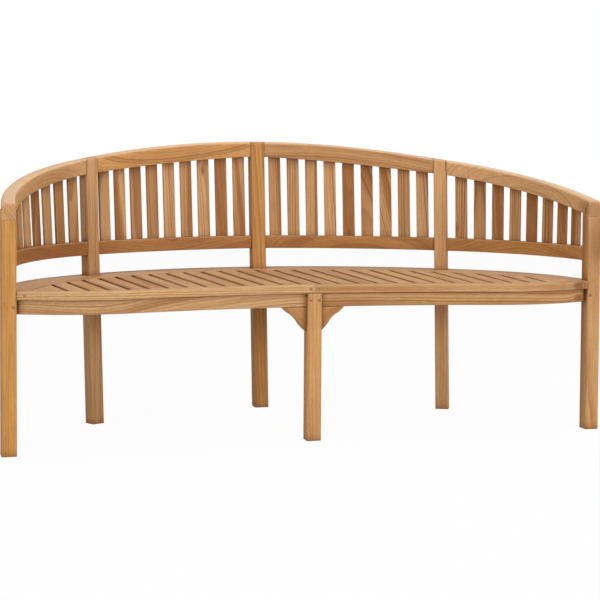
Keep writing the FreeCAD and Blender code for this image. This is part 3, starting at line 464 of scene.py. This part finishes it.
def teak(name, axes, wood, knots):
    """One piece's wood: the shared figure laid along it, with its own growth and colour."""
    middle, turn = axes
    material, tree = new_material(name)
    where = add_node(tree, "ShaderNodeTexCoord").outputs
    laid = add_node(tree, "ShaderNodeMapping", {"Vector": where["Object"], "Location": middle,
                                                "Rotation": turn.to_euler()}, vector_type="TEXTURE")
    facing = vector_node(tree, "DOT_PRODUCT", where["Normal"], turn.col[0], output=1)
    end = remap(tree, math_node(tree, "ABSOLUTE", facing), FACING_END)
    given = {"Place": laid.outputs[0], "End": end, "Tone": wood.tone, "Warmth": wood.warmth,
             "Figure": wood.figure, "Stain": wood.stain, "Bleach": wood.bleach,
             **grown(name, wood), **knot_inputs(axes, knots)}
    looks = add_node(tree, "ShaderNodeGroup", given, node_tree=figure).outputs
    surface = add_node(tree, "ShaderNodeBsdfPrincipled", {
        "Base Color": looks["Colour"], "Roughness": looks["Roughness"],
        "Normal": looks["Normal"], "Specular IOR Level": SPECULAR})
    add_node(tree, "ShaderNodeOutputMaterial", {"Surface": surface.outputs[0]})
    return material


def points_of(mesh, faces):
    return np.array([mesh.vertices[index].co for face in faces for index in face.vertices])


def solids_of(mesh):
    """The faces of each separate solid in a mesh, from left to right."""
    keys = {}
    spots = []
    for vertex in mesh.vertices:
        key = tuple(round(value, CORNER_DECIMALS) for value in vertex.co)
        spots.append(keys.setdefault(key, len(keys)))
    parent = list(range(len(keys)))

    def root(spot):
        while parent[spot] != spot:
            spot = parent[spot]
        return spot

    for face in mesh.polygons:
        first = root(spots[face.vertices[0]])
        for index in face.vertices[1:]:
            parent[root(spots[index])] = first
    solids = {}
    for face in mesh.polygons:
        solids.setdefault(root(spots[face.vertices[0]]), []).append(face)

    def left_then_low(faces):
        return tuple(points_of(mesh, faces).mean(0).round(ORDER_DECIMALS)[[0, 2]])

    return sorted(solids.values(), key=left_then_low)


def knots_of(name, points):
    """Knots that lie in one solid of a node."""
    low, high = points.min(0) - KNOT_SLACK, points.max(0) + KNOT_SLACK
    return [knot for knot in KNOTS.get(name, ()) if np.all(low < knot[0]) and np.all(knot[0] < high)]


def soften(piece, width):
    """Round the arrises: the faces of the solid are joined first, so that they share their edges."""
    weld = piece.modifiers.new("weld", "WELD")
    weld.merge_threshold = WELD_GAP
    arris = piece.modifiers.new("arris", "BEVEL")
    arris.width = width
    arris.segments = 2
    arris.limit_method = "ANGLE"
    arris.angle_limit = ARRIS_ANGLE
    arris.use_clamp_overlap = False
    piece.modifiers.new("flat_faces", "WEIGHTED_NORMAL")


def slat_wood(name, number, draw):
    across = SLAT_LEANS[name].get(number, draw.uniform(-SLAT_LEAN, SLAT_LEAN))
    warmth = draw.uniform(*SLAT_WARMTH)
    depth = draw.uniform(*SLAT_FIGURE)
    through = draw.uniform(-MOST_LEAN, MOST_LEAN)
    return Wood(SLAT_TONES[name][number], warmth, depth, (across, through))


def wood_of(name, number):
    """Wood of a node's solid, by its number from the left."""
    draw = random.Random("%s %d" % (name, number))
    if name in SLAT_TONES:
        return slat_wood(name, number, draw)
    if name == "joint_plugs":
        return PLUG_WOOD._replace(stain=PLUG_STAINS[number])
    if name in WOODS:
        return WOODS[name]
    return Wood(draw.uniform(*PLAIN_TONE), draw.uniform(*PLAIN_WARMTH))


def dress(name, piece):
    """Give each solid of a node its own wood, and the node its soft arrises."""
    mesh = piece.data
    mesh.materials.clear()
    for number, faces in enumerate(solids_of(mesh)):
        points = points_of(mesh, faces)
        wood = teak("teak_%s_%d" % (name, number), grain_axes(points), wood_of(name, number),
                    knots_of(name, points))
        mesh.materials.append(wood)
        for face in faces:
            face.material_index = number
            face.use_smooth = True
    if not name.endswith(PLANED):
        soften(piece, SEAT_ARRIS if "seat_slat" in name or "seat_board" in name else SOFT_ARRIS)


# Floor, world, light and camera

def seen_directly(tree):
    """One for the rays that show the background: straight from the camera, mirrored or let through."""
    path = add_node(tree, "ShaderNodeLightPath").outputs
    seen = math_node(tree, "ADD", path["Is Camera Ray"], path["Is Glossy Ray"])
    return math_node(tree, "ADD", seen, path["Is Transmission Ray"], clamp=True)


def floor_material():
    """A matt surface that looks white to the camera without lighting the object any more."""
    material, tree = new_material("floor_white")
    matt = add_node(tree, "ShaderNodeBsdfDiffuse", {"Color": FLOOR_COLOUR})
    lit = add_node(tree, "ShaderNodeEmission", {"Color": WHITE, "Strength": SEEN_STRENGTH})
    glow = math_node(tree, "MULTIPLY", seen_directly(tree), FLOOR_GLOW)
    mixed = add_node(tree, "ShaderNodeMixShader", {0: glow, 1: matt.outputs[0], 2: lit.outputs[0]})
    add_node(tree, "ShaderNodeOutputMaterial", {"Surface": mixed.outputs[0]})
    return material


def make_floor():
    mesh = bpy.data.meshes.new("floor")
    half = FLOOR_HALF
    corners = [(-half, -half, 0), (half, -half, 0), (half, half, 0), (-half, half, 0)]
    mesh.from_pydata(corners, [], [(0, 1, 2, 3)])
    floor = bpy.data.objects.new("floor", mesh)
    bpy.context.scene.collection.objects.link(floor)
    mesh.materials.append(floor_material())


def make_world():
    """White behind the bench for the camera, a softer grey as light."""
    world = bpy.data.worlds.new("studio")
    bpy.context.scene.world = world
    world.use_nodes = True
    tree = world.node_tree
    tree.nodes.clear()
    strength = remap(tree, seen_directly(tree), (0.0, 1.0, WORLD_STRENGTH, SEEN_STRENGTH))
    sky = add_node(tree, "ShaderNodeBackground", {"Color": WHITE, "Strength": strength})
    add_node(tree, "ShaderNodeOutputWorld", {"Surface": sky.outputs[0]})


def soft_box(name, place, target, size, power):
    light = bpy.data.lights.new(name, "AREA")
    light.shape = "RECTANGLE"
    light.size, light.size_y = size
    light.energy = power
    lamp = bpy.data.objects.new(name, light)
    lamp.location = place
    lamp.rotation_euler = (Vector(target) - Vector(place)).to_track_quat("-Z", "Y").to_euler()
    bpy.context.scene.collection.objects.link(lamp)


def make_camera():
    """The fitted camera: turned right, then down, then rolled."""
    forward = Vector((math.sin(CAMERA_PAN), math.cos(CAMERA_PAN), 0))
    right = Vector((math.cos(CAMERA_PAN), -math.sin(CAMERA_PAN), 0))
    up = Vector((0, 0, 1))
    look = math.cos(CAMERA_PITCH) * forward - math.sin(CAMERA_PITCH) * up
    top = math.sin(CAMERA_PITCH) * forward + math.cos(CAMERA_PITCH) * up
    side = math.cos(CAMERA_ROLL) * right + math.sin(CAMERA_ROLL) * top
    top = math.cos(CAMERA_ROLL) * top - math.sin(CAMERA_ROLL) * right
    data = bpy.data.cameras.new("camera")
    data.sensor_width = CAMERA_SENSOR
    data.lens = CAMERA_LENS
    data.shift_y = CAMERA_SHIFT_Y
    camera = bpy.data.objects.new("camera", data)
    turn = Matrix((side, top, -look)).transposed().to_4x4()
    camera.matrix_world = Matrix.Translation(CAMERA_PLACE) @ turn
    bpy.context.scene.collection.objects.link(camera)
    bpy.context.scene.camera = camera


for node_name in sorted(nodes):
    dress(node_name, nodes[node_name])
make_floor()
make_world()
for box_name, settings in SOFT_BOXES.items():
    soft_box(box_name, *settings)
make_camera()
bpy.context.scene.view_settings.view_transform = "Standard"
